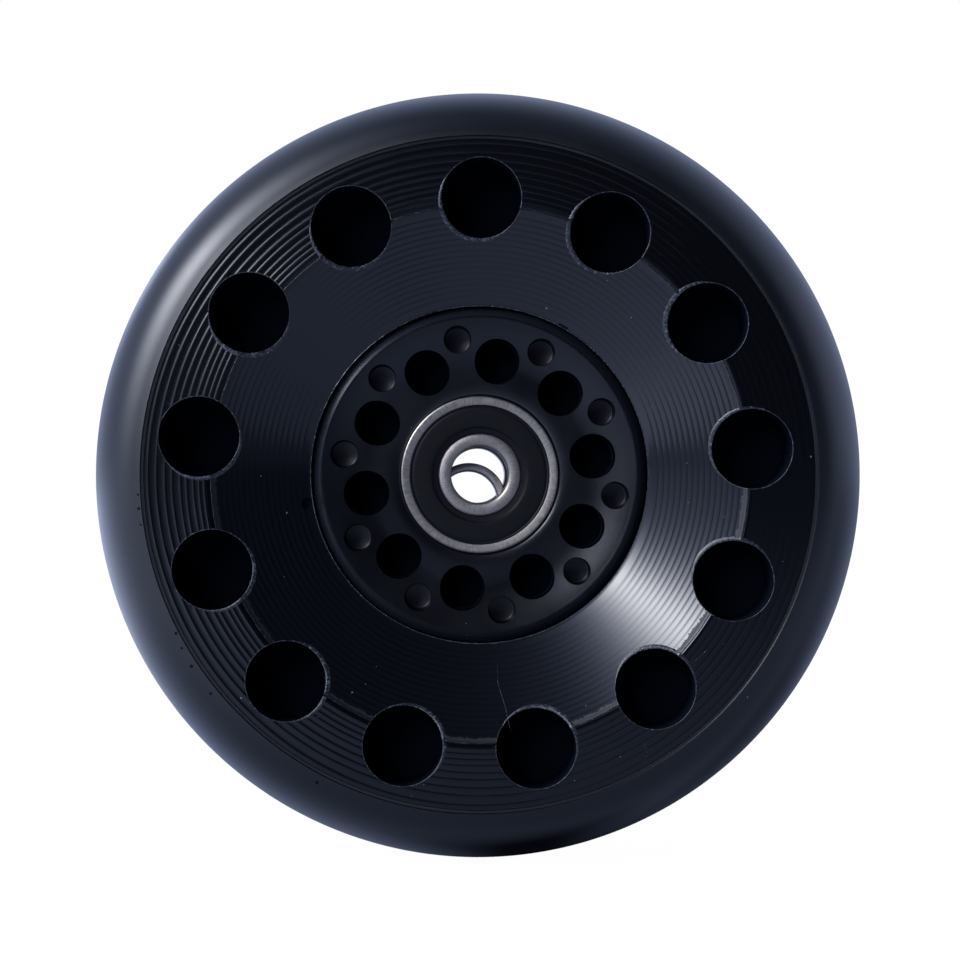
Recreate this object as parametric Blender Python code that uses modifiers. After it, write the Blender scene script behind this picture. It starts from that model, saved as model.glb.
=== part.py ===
"""A 110 mm solid-core caster wheel on two 608 ball bearings.

The axle lies along Y, the front face looks towards -Y and +Z is up. The
origin is the centre of the wheel. Sizes are millimetres, turned into metres
by MM where they enter Blender.
"""

import math

import bmesh
import bpy
from mathutils import Matrix

MM = 0.001

# Wheel
TYRE_R = 55.0            # tread radius
TYRE_SIDE_R = 46.78      # where the tyre's side meets the core
TYRE_HALF_WIDTH = 16.0   # widest, beside the core
CROWN_R = 46.7           # where the tyre's elliptical section is widest
RIM_RIB_R = 48.4         # rib that locks the tyre on the core
RIM_RIB_HALF = 3.6

CORE_FACE_Z = 15.7       # ribbed outer zone
STEP_R = 37.45           # edge between the ribbed zone and the dished cone
STEP_HEIGHT = 0.45
CONE_VALLEY_Z = 11.5     # the cone's lowest point, almost level with the hub
CORE_HOLES = 13
CORE_HOLE_R = 5.6
CORE_HOLE_PITCH_R = 38.85
CORE_HOLE_PHASE = 5.68   # degrees, anticlockwise from +X seen from the front
CORE_HOLE_CENTRE = (-0.65, -0.25)  # the hole circle stands a little off the axle
CORE_WEB_HALF = 4.0      # half of the web left between front and rear holes

HUB_R = 23.6
HUB_FACE_Z = 12.0        # the boss's rim, level with the bearing
HUB_RIM_R = 22.1         # inner side of the boss's rounded edge
HUB_DISH_R = 15.0        # the face dishes from here out to the rim
HUB_FLOOR_Z = 11.2       # flat ring round the bearing
HUB_ROLL_R = 12.8        # the face rolls over into the bearing's seat here
HUB_SEAT_Z = 10.8
HUB_FLANGE_R = 29.0      # flange moulded into the core
HUB_FLANGE_HALF = 3.0
HUB_HOLES = 10
HUB_HOLE_R = 3.0
HUB_HOLE_PITCH_R = 16.0
HUB_HOLE_PHASE = 9.28
HUB_HOLE_DEPTH = 8.5
DIMPLE_R = 1.85
DIMPLE_PITCH_R = 19.15
DIMPLE_PHASE = 27.3
DIMPLE_DEPTH = 2.0
CAVITY_R = 9.35          # room for the loose spacer between the bearings

# 608 bearing
BEARING_R = 11.0
BEARING_BORE_R = 4.0
BEARING_HALF = 3.5
BEARING_CHAMFER = 0.25
OUTER_LAND_R = 8.95      # shoulder of the outer ring
SEAL_SEAT_R = 9.82       # recess of the outer ring that takes the seal
INNER_LAND_R = 6.05      # shoulder of the inner ring
SEAL_LAND_R = 5.65       # step of the inner ring that the seal's lip runs on
SHOULDER_HALF = 2.65
BALLS = 7
BALL_R = 3.969 / 2
BALL_PITCH_R = 7.5
RACE_R = 2.07            # groove radius
SEAL_R = 9.77
SEAL_LIP_R = 5.78
SEAL_STEP_R = 6.7
SEAL_IN_Z = 2.75
SEAL_OUT_Z = 3.35
SEAL_LIP_Z = 3.15
CAGE_R = (6.5, 8.6)
CAGE_Z = (-2.6, 0.9)
CAGE_POCKET_R = 2.1

# Spacer tube, resting on the wall of the hub's cavity
SPACER_R = 5.35
SPACER_BORE_R = 4.15
SPACER_HALF = 4.9
SPACER_CHAMFER = 0.2
SPACER_DROP = 3.9
SPACER_DROP_ANGLE = 248.3  # degrees, anticlockwise from +X seen from the front

SEAT_GAP = 0.05          # ring to hub
MOULD_GAP = 0.08         # between moulded pieces

BEARING_Z = HUB_FACE_Z - BEARING_HALF

WHEEL_SEGMENTS = 60
HUB_SEGMENTS = 40
BEARING_SEGMENTS = 32
CAGE_SEGMENTS = 21

for old in list(bpy.data.objects):
    bpy.data.objects.remove(old)

parts = bpy.data.collections.new("caster_wheel")
cutters = bpy.data.collections.new("caster_wheel_cutters")
for collection in (parts, cutters):
    bpy.context.scene.collection.children.link(collection)


def material(name, color, roughness, metallic=0.0):
    made = bpy.data.materials.new(name)
    made.use_nodes = True
    shader = made.node_tree.nodes["Principled BSDF"]
    shader.inputs["Base Color"].default_value = (*color, 1.0)
    shader.inputs["Roughness"].default_value = roughness
    shader.inputs["Metallic"].default_value = metallic
    made.diffuse_color = (*color, 1.0)
    return made


def joint_empty(name, y=0.0, parent=None):
    """An empty on the axle line, for pieces that turn together."""
    empty = bpy.data.objects.new(name, None)
    empty.empty_display_size = 10 * MM
    empty.location = (0, y * MM, 0)
    empty.parent = parent
    parts.objects.link(empty)
    return empty


def bake(obj, smooth_angle=35):
    """Applies the modifiers and shades the round faces smooth."""
    graph = bpy.context.evaluated_depsgraph_get()
    graph.update()
    mesh = bpy.data.meshes.new_from_object(obj.evaluated_get(graph))
    obj.modifiers.clear()
    mesh.name = obj.name
    obj.data = mesh
    mesh.shade_smooth()
    mesh.set_sharp_from_angle(angle=math.radians(smooth_angle))


def turned(name, profile, segments, collection=parts):
    """A ring turned about the object's Z, from (radius, height) points.

    The points run down the outer side and back up the inner side. The object
    is tipped so that its +Z is the wheel's front, -Y.
    """
    bm = bmesh.new()
    points = [bm.verts.new((r * MM, 0, z * MM)) for r, z in profile]
    for start, end in zip(points, points[1:] + points[:1]):
        bm.edges.new((start, end))
    mesh = bpy.data.meshes.new(name)
    bm.to_mesh(mesh)
    bm.free()
    obj = bpy.data.objects.new(name, mesh)
    obj.rotation_euler.x = math.pi / 2
    collection.objects.link(obj)
    screw = obj.modifiers.new("turn", "SCREW")
    screw.axis = "Z"
    screw.angle = 2 * math.pi
    screw.steps = screw.render_steps = segments
    screw.use_merge_vertices = True
    screw.merge_threshold = 0.000001
    return obj


def mirrored(front_half):
    """A profile's front half, outer side first, followed by its rear half."""
    return front_half + [(r, -z) for r, z in reversed(front_half)]


def hole_cutter(
    name, count, phase, pitch_r, hole_r, depth_from, depth_to, segments, centre=(0, 0)
):
    """Cylinders on a circle round centre, on the front and the rear, as one cutter."""
    bm = bmesh.new()
    for k in range(count):
        angle = math.radians(phase + 360 * k / count)
        for side in (1, -1):
            place = Matrix.Translation(
                (
                    (centre[0] + pitch_r * math.cos(angle)) * MM,
                    (centre[1] + pitch_r * math.sin(angle)) * MM,
                    side * MM * (depth_from + depth_to) / 2,
                )
            )
            bmesh.ops.create_cone(
                bm,
                cap_ends=True,
                segments=segments,
                radius1=hole_r * MM,
                radius2=hole_r * MM,
                depth=(depth_to - depth_from) * MM,
                matrix=place @ Matrix.Rotation(angle, 4, "Z"),
            )
    mesh = bpy.data.meshes.new(name)
    bm.to_mesh(mesh)
    bm.free()
    obj = bpy.data.objects.new(name, mesh)
    obj.rotation_euler.x = math.pi / 2
    obj.hide_render = True
    obj.display_type = "WIRE"
    cutters.objects.link(obj)
    return obj


def cut(obj, cutter):
    boolean = obj.modifiers.new(cutter.name, "BOOLEAN")
    boolean.operation = "DIFFERENCE"
    boolean.solver = "EXACT"
    boolean.object = cutter


def race(side, land_r):
    """The groove's arc from the front shoulder to the rear one.

    side is -1 on the inner ring, whose groove opens outwards, and 1 on the
    outer ring.
    """
    reach = math.acos((land_r - BALL_PITCH_R) * side / RACE_R)
    return [
        (
            BALL_PITCH_R + side * RACE_R * math.cos(reach * step),
            RACE_R * math.sin(reach * step),
        )
        for step in (1.0, 0.5, 0.0, -0.5, -1.0)
    ]


# Tyre: an elliptical crown over the core's rib
def crown(steps=7):
    """The front half of the tread's section, from the core out to the middle."""
    start = math.asin((TYRE_SIDE_R - CROWN_R) / (TYRE_R - CROWN_R))
    points = []
    for step in range(steps):
        angle = start + (math.pi / 2 - start) * step / steps
        points.append(
            (
                CROWN_R + (TYRE_R - CROWN_R) * math.sin(angle),
                TYRE_HALF_WIDTH * math.cos(angle),
            )
        )
    return points


tyre = turned(
    "tyre",
    crown()
    + [(TYRE_R, 0.0)]
    + [(r, -z) for r, z in reversed(crown())]
    + [
        (TYRE_SIDE_R, -RIM_RIB_HALF - 0.8),
        (RIM_RIB_R + MOULD_GAP, -RIM_RIB_HALF),
        (RIM_RIB_R + MOULD_GAP, RIM_RIB_HALF),
        (TYRE_SIDE_R, RIM_RIB_HALF + 0.8),
    ],
    WHEEL_SEGMENTS,
)

# Core: dished cone, step, ribbed outer zone and the rib under the tyre
core_rim_r = TYRE_SIDE_R - MOULD_GAP
core_bore_r = HUB_R + MOULD_GAP
core_front = [
    (core_rim_r, CORE_FACE_Z),
    (core_rim_r, RIM_RIB_HALF + 0.6),
    (RIM_RIB_R, RIM_RIB_HALF - 0.2),
]
core_back = [
    (HUB_FLANGE_R + MOULD_GAP, HUB_FLANGE_HALF + MOULD_GAP),
    (core_bore_r, HUB_FLANGE_HALF + MOULD_GAP),
    (core_bore_r, CONE_VALLEY_Z),
    (STEP_R, CORE_FACE_Z - STEP_HEIGHT),
    (STEP_R, CORE_FACE_Z),
]
wheel_core = turned(
    "wheel_core",
    mirrored(core_front) + [(r, -z) for r, z in reversed(core_back)] + core_back,
    WHEEL_SEGMENTS,
)
cut(
    wheel_core,
    hole_cutter(
        "core_hole_cutter",
        CORE_HOLES,
        CORE_HOLE_PHASE,
        CORE_HOLE_PITCH_R,
        CORE_HOLE_R,
        CORE_WEB_HALF,
        CORE_FACE_Z + 2,
        12,
        CORE_HOLE_CENTRE,
    ),
)

# Hub: a dished boss with rounded edges, a flange in the core, and two bearing seats
edge_r = HUB_R - HUB_RIM_R
hub_outer = [
    (HUB_RIM_R + edge_r * math.sin(a), HUB_FACE_Z - edge_r * (1 - math.cos(a)))
    for a in (0.0, math.pi / 4, math.pi / 2)
] + [
    (HUB_R, HUB_FLANGE_HALF),
    (HUB_FLANGE_R, HUB_FLANGE_HALF),
]


def dish_z(radius):
    """Height of the dished face, which is steepest half-way out."""
    share = (radius - HUB_DISH_R) / (HUB_RIM_R - HUB_DISH_R)
    return HUB_FLOOR_Z + (HUB_FACE_Z - HUB_FLOOR_Z) * share**2 * (3 - 2 * share)


seat_r = BEARING_R + SEAT_GAP
shoulder_z = BEARING_Z - BEARING_HALF - SEAT_GAP
hub_inner = [
    (CAVITY_R, shoulder_z),
    (seat_r, shoulder_z),
    (seat_r, HUB_SEAT_Z),
    (seat_r + 0.6, HUB_SEAT_Z + 0.3),
    (HUB_ROLL_R, HUB_FLOOR_Z),
    (HUB_DISH_R, HUB_FLOOR_Z),
    (17.0, dish_z(17.0)),
    (20.1, dish_z(20.1)),
]
hub = turned(
    "hub",
    mirrored(hub_outer) + [(r, -z) for r, z in reversed(hub_inner)] + hub_inner,
    HUB_SEGMENTS,
)
cut(
    hub,
    hole_cutter(
        "hub_hole_cutter",
        HUB_HOLES,
        HUB_HOLE_PHASE,
        HUB_HOLE_PITCH_R,
        HUB_HOLE_R,
        HUB_FACE_Z - HUB_HOLE_DEPTH,
        HUB_FACE_Z + 2,
        10,
    ),
)
cut(
    hub,
    hole_cutter(
        "hub_dimple_cutter",
        HUB_HOLES,
        DIMPLE_PHASE,
        DIMPLE_PITCH_R,
        DIMPLE_R,
        HUB_FACE_Z - DIMPLE_DEPTH,
        HUB_FACE_Z + 2,
        8,
    ),
)

# Spacer tube between the inner rings
spacer = turned(
    "centre_spacer",
    mirrored(
        [
            (SPACER_R - SPACER_CHAMFER, SPACER_HALF),
            (SPACER_R, SPACER_HALF - SPACER_CHAMFER),
        ]
    )
    + [
        (SPACER_BORE_R + SPACER_CHAMFER, -SPACER_HALF),
        (SPACER_BORE_R, -SPACER_HALF + SPACER_CHAMFER),
        (SPACER_BORE_R, SPACER_HALF - SPACER_CHAMFER),
        (SPACER_BORE_R + SPACER_CHAMFER, SPACER_HALF),
    ],
    BEARING_SEGMENTS,
)
drop = math.radians(SPACER_DROP_ANGLE)
spacer.location = (
    SPACER_DROP * MM * math.cos(drop),
    0,
    SPACER_DROP * MM * math.sin(drop),
)

wheel_axis = joint_empty("wheel_axis")
for obj in (tyre, wheel_core, hub):
    obj.parent = wheel_axis
round_parts = [tyre, wheel_core, hub, spacer]

outer_ring_profile = (
    mirrored(
        [
            (BEARING_R - BEARING_CHAMFER, BEARING_HALF),
            (BEARING_R, BEARING_HALF - BEARING_CHAMFER),
        ]
    )
    + [
        (SEAL_SEAT_R, -BEARING_HALF),
        (SEAL_SEAT_R, -SHOULDER_HALF),
        (OUTER_LAND_R, -SHOULDER_HALF),
    ]
    + list(reversed(race(1, OUTER_LAND_R)))
    + [
        (OUTER_LAND_R, SHOULDER_HALF),
        (SEAL_SEAT_R, SHOULDER_HALF),
        (SEAL_SEAT_R, BEARING_HALF),
    ]
)
inner_ring_profile = (
    [
        (SEAL_LAND_R, BEARING_HALF),
        (SEAL_LAND_R, SHOULDER_HALF),
        (INNER_LAND_R, SHOULDER_HALF),
    ]
    + race(-1, INNER_LAND_R)
    + [
        (INNER_LAND_R, -SHOULDER_HALF),
        (SEAL_LAND_R, -SHOULDER_HALF),
        (SEAL_LAND_R, -BEARING_HALF),
    ]
    + [
        (BEARING_BORE_R + 0.3, -BEARING_HALF),
        (BEARING_BORE_R, -BEARING_HALF + 0.3),
        (BEARING_BORE_R, BEARING_HALF - 0.3),
        (BEARING_BORE_R + 0.3, BEARING_HALF),
    ]
)
seal_profile = [
    (SEAL_R, SEAL_OUT_Z),
    (SEAL_R, SEAL_IN_Z),
    (SEAL_LIP_R, SEAL_IN_Z),
    (SEAL_LIP_R, SEAL_LIP_Z),
    (SEAL_STEP_R - 0.1, SEAL_LIP_Z),
    (SEAL_STEP_R, SEAL_OUT_Z),
]
cage_profile = [
    (CAGE_R[1], CAGE_Z[1]),
    (CAGE_R[1], CAGE_Z[0]),
    (CAGE_R[0], CAGE_Z[0]),
    (CAGE_R[0], CAGE_Z[1]),
]
inner_seal_profile = [(r, -z) for r, z in reversed(seal_profile)]

steel = material("ring_steel", (0.36, 0.36, 0.38), 0.34, 1.0)
ball_steel = material("ball_steel", (0.62, 0.62, 0.64), 0.08, 1.0)
spacer_steel = material("spacer_steel", (0.30, 0.30, 0.31), 0.3, 1.0)
seal_rubber = material("seal_rubber", (0.012, 0.013, 0.016), 0.55)
cage_nylon = material("cage_nylon", (0.55, 0.52, 0.44), 0.5)
tyre_rubber = material("tyre_urethane", (0.016, 0.018, 0.024), 0.5)
core_gloss = material("core_gloss", (0.012, 0.014, 0.02), 0.12)
hub_nylon = material("hub_nylon", (0.014, 0.016, 0.022), 0.45)
finishes = {
    tyre: tyre_rubber,
    wheel_core: core_gloss,
    hub: hub_nylon,
    spacer: spacer_steel,
}

# The front bearing faces -Y. The rear one is the same, turned to face +Y.
for end, side in (("front", 1), ("rear", -1)):
    cage_axis = joint_empty(f"{end}_cage_axis", -side * BEARING_Z)
    bearing = {
        f"{end}_outer_ring": (outer_ring_profile, steel, wheel_axis),
        f"{end}_inner_ring": (inner_ring_profile, steel, None),
        f"{end}_outer_seal": (seal_profile, seal_rubber, wheel_axis),
        f"{end}_inner_seal": (inner_seal_profile, seal_rubber, wheel_axis),
        f"{end}_cage": (cage_profile, cage_nylon, cage_axis),
    }
    for name, (profile, finish, parent) in bearing.items():
        segments = CAGE_SEGMENTS if parent is cage_axis else BEARING_SEGMENTS
        piece = turned(name, profile, segments)
        piece.rotation_euler.x = side * math.pi / 2
        piece.parent = parent
        if parent is not cage_axis:
            piece.location.y = -side * BEARING_Z * MM
        round_parts.append(piece)
        finishes[piece] = finish

    pockets = bmesh.new()
    ball_mesh = bpy.data.meshes.new(f"{end}_ball")
    ball = bmesh.new()
    bmesh.ops.create_icosphere(ball, subdivisions=2, radius=BALL_R * MM)
    ball.to_mesh(ball_mesh)
    ball.free()
    ball_mesh.shade_smooth()
    for k in range(BALLS):
        angle = 2 * math.pi * (k + 0.25) / BALLS
        x = BALL_PITCH_R * MM * math.cos(angle)
        z = BALL_PITCH_R * MM * math.sin(angle)
        one = bpy.data.objects.new(f"{end}_ball_{k + 1}", ball_mesh)
        one.location = (x, 0, z)
        one.parent = cage_axis
        parts.objects.link(one)
        finishes[one] = ball_steel
        bmesh.ops.create_uvsphere(
            pockets,
            u_segments=10,
            v_segments=6,
            radius=CAGE_POCKET_R * MM,
            matrix=Matrix.Translation((x, 0, z)),
        )
    pocket_mesh = bpy.data.meshes.new(f"{end}_pocket_cutter")
    pockets.to_mesh(pocket_mesh)
    pockets.free()
    pocket_cutter = bpy.data.objects.new(f"{end}_pocket_cutter", pocket_mesh)
    pocket_cutter.location.y = -side * BEARING_Z * MM
    pocket_cutter.hide_render = True
    pocket_cutter.display_type = "WIRE"
    cutters.objects.link(pocket_cutter)
    cut(bpy.data.objects[f"{end}_cage"], pocket_cutter)

bpy.context.view_layer.update()
for obj in round_parts:
    bake(obj)
for obj, finish in finishes.items():
    obj.data.materials.clear()
    obj.data.materials.append(finish)
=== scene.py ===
"""Finished looks of the 110 mm caster wheel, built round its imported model.

The axle lies along Y, the front looks towards -Y and +Z is up. Shapes are
worked out in millimetres as (radius, height), where height is the distance
from the wheel's mid-plane towards the front, and turned into metres where
they enter Blender.
"""

import math

import bmesh
import bpy
import numpy as np
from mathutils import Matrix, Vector


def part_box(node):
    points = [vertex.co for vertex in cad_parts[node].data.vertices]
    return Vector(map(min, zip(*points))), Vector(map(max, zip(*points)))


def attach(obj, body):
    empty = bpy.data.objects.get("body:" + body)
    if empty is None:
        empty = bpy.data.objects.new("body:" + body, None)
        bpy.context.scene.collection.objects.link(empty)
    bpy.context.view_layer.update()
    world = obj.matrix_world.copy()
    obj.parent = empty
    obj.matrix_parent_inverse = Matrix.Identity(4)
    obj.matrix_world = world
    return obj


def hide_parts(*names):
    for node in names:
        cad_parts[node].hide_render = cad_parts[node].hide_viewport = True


MM = 0.001
TAU = 2 * math.pi

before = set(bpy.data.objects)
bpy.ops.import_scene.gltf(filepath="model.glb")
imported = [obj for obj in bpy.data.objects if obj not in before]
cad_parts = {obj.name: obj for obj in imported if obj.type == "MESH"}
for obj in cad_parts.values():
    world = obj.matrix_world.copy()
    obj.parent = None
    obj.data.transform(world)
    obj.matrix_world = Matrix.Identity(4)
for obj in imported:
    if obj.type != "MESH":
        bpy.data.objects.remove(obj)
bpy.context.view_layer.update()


def top_of(node, axis):
    """A node's far side along an axis, in mm."""
    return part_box(node)[1][axis] / MM


TYRE_R = top_of("tyre", 2)
TYRE_HALF = top_of("tyre", 1)
CROWN_R = 46.7
TYRE_SIDE_R = 46.78
RIB_R = 48.4
CORE_R = 46.7
CORE_FACE = top_of("wheel_core", 1)
STEP_R = 37.45
CONE_TOP = CORE_FACE - 0.45
CONE_LOW = 11.5
CORE_BORE_R = 23.68
CORE_HOLES = 13
CORE_HOLE_R = 5.6
CORE_PITCH_R = 38.85
CORE_PHASE = 5.68
CORE_HOLE_MID = (-0.65, -0.25)  # the hole circle stands a little off the axle
CORE_WEB = 4.0
HUB_R = 23.6
HUB_FACE = top_of("hub", 1)
HUB_RIM_R = 22.1
HUB_DISH_R = 15.0
HUB_FLOOR = 11.2
HUB_HOLES = 10
HUB_HOLE_R = 3.0
HUB_PITCH_R = 16.0
HUB_PHASE = 9.28
HUB_HOLE_FLOOR = 3.5
DIMPLE_R = 1.85
DIMPLE_PITCH_R = 19.15
DIMPLE_PHASE = 27.3
DIMPLE_FLOOR = 10.0
BEARING_MID = -(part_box("front_outer_ring")[0].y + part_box("front_outer_ring")[1].y) / 2 / MM
BALL_PITCH_R = 7.5
BALL_R = 3.969 / 2
BALLS = 7

rng = np.random.default_rng(1108)


# ---------------------------------------------------------------- mesh helpers


def ripple(angle, low, high, count=7, seed=0):
    """Smooth periodic unevenness round the axle, roughly from -1 to 1."""
    own = np.random.default_rng(4000 + seed)
    waves = own.integers(low, high, count)
    phases = own.uniform(0, TAU, count)
    sizes = own.uniform(0.5, 1.0, count)
    made = sum(s * np.sin(w * angle + p) for w, p, s in zip(waves, phases, sizes))
    return made / sizes.sum() * 1.6


def place(radius, angle, height):
    """(radius, angle, height) in mm to points in the wheel's frame, in mm."""
    radius, angle, height = np.broadcast_arrays(radius, angle, height)
    return np.stack(
        [radius * np.cos(angle), -height, radius * np.sin(angle)], axis=-1
    )


def sheet_quads(rows, columns, close_rows, close_columns):
    i = np.arange(rows if close_rows else rows - 1)[:, None]
    j = np.arange(columns if close_columns else columns - 1)[None, :]
    i, j = np.broadcast_arrays(i, j)
    ni, nj = (i + 1) % rows, (j + 1) % columns
    quads = [i * columns + j, i * columns + nj, ni * columns + nj, ni * columns + j]
    return np.stack(quads, axis=-1).reshape(-1, 4)


def volume(points, quads):
    a, b, c, d = (points[quads[:, k]] for k in range(4))
    return (
        np.einsum("ij,ij->i", a, np.cross(b, c)).sum()
        + np.einsum("ij,ij->i", a, np.cross(c, d)).sum()
    )


def outward(points, quads):
    return quads if volume(points, quads) > 0 else quads[:, ::-1]


def turned(profile, segments, shift=None):
    """Points and quads of a closed (radius, height) profile turned round the axle.

    shift(radius, height, angle) gives small changes of radius and height.
    """
    profile = np.asarray(profile, float)
    angle = np.arange(segments)[None, :] * TAU / segments
    radius = np.repeat(profile[:, :1], segments, axis=1)
    height = np.repeat(profile[:, 1:], segments, axis=1)
    if shift is not None:
        dr, dh = shift(radius, height, angle)
        radius, height = radius + dr, height + dh
    points = place(radius, angle, height).reshape(-1, 3)
    quads = sheet_quads(len(profile), segments, True, True)
    return points, outward(points, quads)


def bead(centres, across, up, section):
    """A closed ridge that follows a line on a surface.

    centres (n, 3), across (n, 3) and up (n, 3) describe the line; section is a
    list of (sideways, upwards) offsets, each a number or an array of n.
    """
    n = len(centres)
    rows = []
    for side, lift in section:
        side = np.broadcast_to(np.asarray(side, float), n)[:, None]
        lift = np.broadcast_to(np.asarray(lift, float), n)[:, None]
        rows.append(centres + across * side + up * lift)
    return np.stack(rows)


def closed_bead(rows, loop):
    """Points and faces of a bead; an open one gets end caps."""
    count, n = rows.shape[:2]
    points = rows.reshape(-1, 3)
    quads = sheet_quads(count, n, True, loop)
    faces = outward(points, quads)
    faces = [tuple(f) for f in faces.tolist()]
    if not loop:
        flipped = volume(points, quads) < 0
        first = [k * n for k in range(count)]
        last = [k * n + n - 1 for k in range(count)]
        ends = (first, last[::-1])
        for cap in ends:
            faces.append(tuple(cap if not flipped else cap[::-1]))
    return points, faces


def gather(shells):
    """Several (points, faces) as one."""
    points, faces, at = [], [], 0
    for some, cells in shells:
        points.append(some)
        cells = cells.tolist() if hasattr(cells, "tolist") else cells
        faces += [tuple(v + at for v in cell) for cell in cells]
        at += len(some)
    return np.concatenate(points), faces


def mesh_of(name, points, faces):
    mesh = bpy.data.meshes.new(name)
    cells = faces.tolist() if hasattr(faces, "tolist") else faces
    mesh.from_pydata((np.asarray(points) * MM).tolist(), [], cells)
    mesh.validate()
    mesh.update()
    return mesh


def smooth(mesh, angle):
    mesh.shade_smooth()
    mesh.set_sharp_from_angle(angle=math.radians(angle))


def thing(name, mesh):
    obj = bpy.data.objects.new(name, mesh)
    bpy.context.scene.collection.objects.link(obj)
    return obj


def carve(obj, cutter_mesh):
    """Cuts closed shells out of obj and leaves a plain mesh."""
    cutter = thing(obj.name + "_cutter", cutter_mesh)
    before = len(obj.data.polygons)
    for solver in ("MANIFOLD", "EXACT"):
        boolean = obj.modifiers.new("cut", "BOOLEAN")
        boolean.operation = "DIFFERENCE"
        boolean.solver = solver
        boolean.object = cutter
        graph = bpy.context.evaluated_depsgraph_get()
        graph.update()
        made = bpy.data.meshes.new_from_object(obj.evaluated_get(graph))
        obj.modifiers.clear()
        if len(made.polygons) != before and len(made.polygons) > before // 2:
            break
        print("solver", solver, "left", obj.name, "uncut")
    old = obj.data
    obj.data = made
    made.name = obj.name
    bpy.data.meshes.remove(old)
    bpy.data.objects.remove(cutter)


def pocket(profile, centre, angle, side, segments, mid=(0.0, 0.0)):
    """A turned cutter whose axis stands at (centre, angle) round mid.

    profile runs from its deep end up as (radius, height), both on or off the
    pocket's axis; side is 1 at the front and -1 at the rear.
    """
    profile = np.asarray(profile, float)
    around = np.arange(segments) * TAU / segments
    cx, cz = mid[0] + centre * math.cos(angle), mid[1] + centre * math.sin(angle)
    rows = [
        np.stack(
            [
                cx + r * np.cos(around),
                np.full(segments, -side * h),
                cz + r * np.sin(around),
            ],
            axis=-1,
        )
        for r, h in profile
    ]
    points = np.concatenate(rows)
    quads = sheet_quads(len(profile), segments, False, True)
    cap_low = tuple(range(segments))
    cap_high = tuple(range((len(profile) - 1) * segments, len(profile) * segments))
    middle = points.mean(0)
    total = volume(points - middle, quads)
    if total < 0:
        quads = quads[:, ::-1]
    faces = [tuple(q) for q in quads.tolist()]
    # The walls run first row to last, so the caps close them the same way round.
    lowest_first = faces[0]
    a, b = lowest_first[0], lowest_first[1]
    forward = (b - a) % segments == 1 and a < segments
    faces.append(cap_low[::-1] if forward else cap_low)
    faces.append(cap_high if forward else cap_high[::-1])
    return points, faces


def fix_normals(mesh):
    bm = bmesh.new()
    bm.from_mesh(mesh)
    bmesh.ops.recalc_face_normals(bm, faces=bm.faces)
    bm.to_mesh(mesh)
    bm.free()


# ------------------------------------------------------------------- materials


class Nodes:
    """A short way to write a material's node tree."""

    def __init__(self, tree):
        self.tree = tree

    def add(self, kind, inputs=None, **settings):
        node = self.tree.nodes.new(kind)
        for key, value in settings.items():
            setattr(node, key, value)
        for key, value in (inputs or {}).items():
            self.put(node.inputs[key], value)
        return node

    def put(self, socket, value):
        if isinstance(value, bpy.types.NodeSocket):
            self.tree.links.new(value, socket)
        else:
            socket.default_value = value

    def math(self, operation, *values, clamp=False):
        node = self.add("ShaderNodeMath", operation=operation, use_clamp=clamp)
        for k, value in enumerate(values):
            self.put(node.inputs[k], value)
        return node.outputs[0]

    def vector(self, operation, *values):
        node = self.add("ShaderNodeVectorMath", operation=operation)
        for k, value in enumerate(values):
            self.put(node.inputs[k], value)
        return node.outputs[0]

    def rescale(self, value, low, high, to_low, to_high, kind="SMOOTHSTEP"):
        node = self.add("ShaderNodeMapRange", interpolation_type=kind)
        for k, number in enumerate((value, low, high, to_low, to_high)):
            self.put(node.inputs[k], number)
        return node.outputs[0]

    def mix(self, share, a, b):
        node = self.add("ShaderNodeMix", data_type="RGBA")
        self.put(node.inputs["Factor"], share)
        self.put(node.inputs["A"], a)
        self.put(node.inputs["B"], b)
        return node.outputs["Result"]

    def noise(self, where, scale, detail=2.0, roughness=0.5):
        node = self.add(
            "ShaderNodeTexNoise",
            {"Vector": where, "Scale": scale, "Detail": detail, "Roughness": roughness},
        )
        return node.outputs["Fac"]

    def place(self):
        return self.add("ShaderNodeTexCoord").outputs["Object"]

    def polar(self):
        """(position, radius from the axle, angle round it), in metres and radians."""
        where = self.place()
        split = self.add("ShaderNodeSeparateXYZ", {"Vector": where})
        x, y, z = (split.outputs[k] for k in range(3))
        radius = self.math(
            "SQRT", self.math("ADD", self.math("MULTIPLY", x, x), self.math("MULTIPLY", z, z))
        )
        return where, radius, self.math("ARCTAN2", z, x), y

    def specks(self, where, scale, size, amount, seed=(0.0, 0.0, 0.0)):
        """Sparse dust: 1 on a speck, 0 elsewhere."""
        cells = self.add(
            "ShaderNodeTexVoronoi",
            {"Vector": self.vector("ADD", where, seed), "Scale": scale, "Randomness": 1.0},
        )
        near = self.rescale(cells.outputs["Distance"], size * 0.6, size, 1.0, 0.0)
        pick = self.add("ShaderNodeSeparateColor", {"Color": cells.outputs["Color"]})
        chosen = self.math("LESS_THAN", pick.outputs[0], amount)
        bigger = self.math("MULTIPLY", near, chosen)
        return bigger


def shader(name, roughness=0.5, metallic=0.0, **settings):
    made = bpy.data.materials.new(name)
    made.use_nodes = True
    made.node_tree.nodes.clear()
    nodes = Nodes(made.node_tree)
    surface = nodes.add("ShaderNodeBsdfPrincipled")
    surface.inputs["Roughness"].default_value = roughness
    surface.inputs["Metallic"].default_value = metallic
    for key, value in settings.items():
        surface.inputs[key].default_value = value
    out = nodes.add("ShaderNodeOutputMaterial")
    nodes.put(out.inputs["Surface"], surface.outputs[0])
    return made, nodes, surface


def bump(nodes, surface, height, distance, strength=1.0):
    made = nodes.add(
        "ShaderNodeBump", {"Height": height, "Distance": distance, "Strength": strength}
    )
    nodes.put(surface.inputs["Normal"], made.outputs[0])


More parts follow.
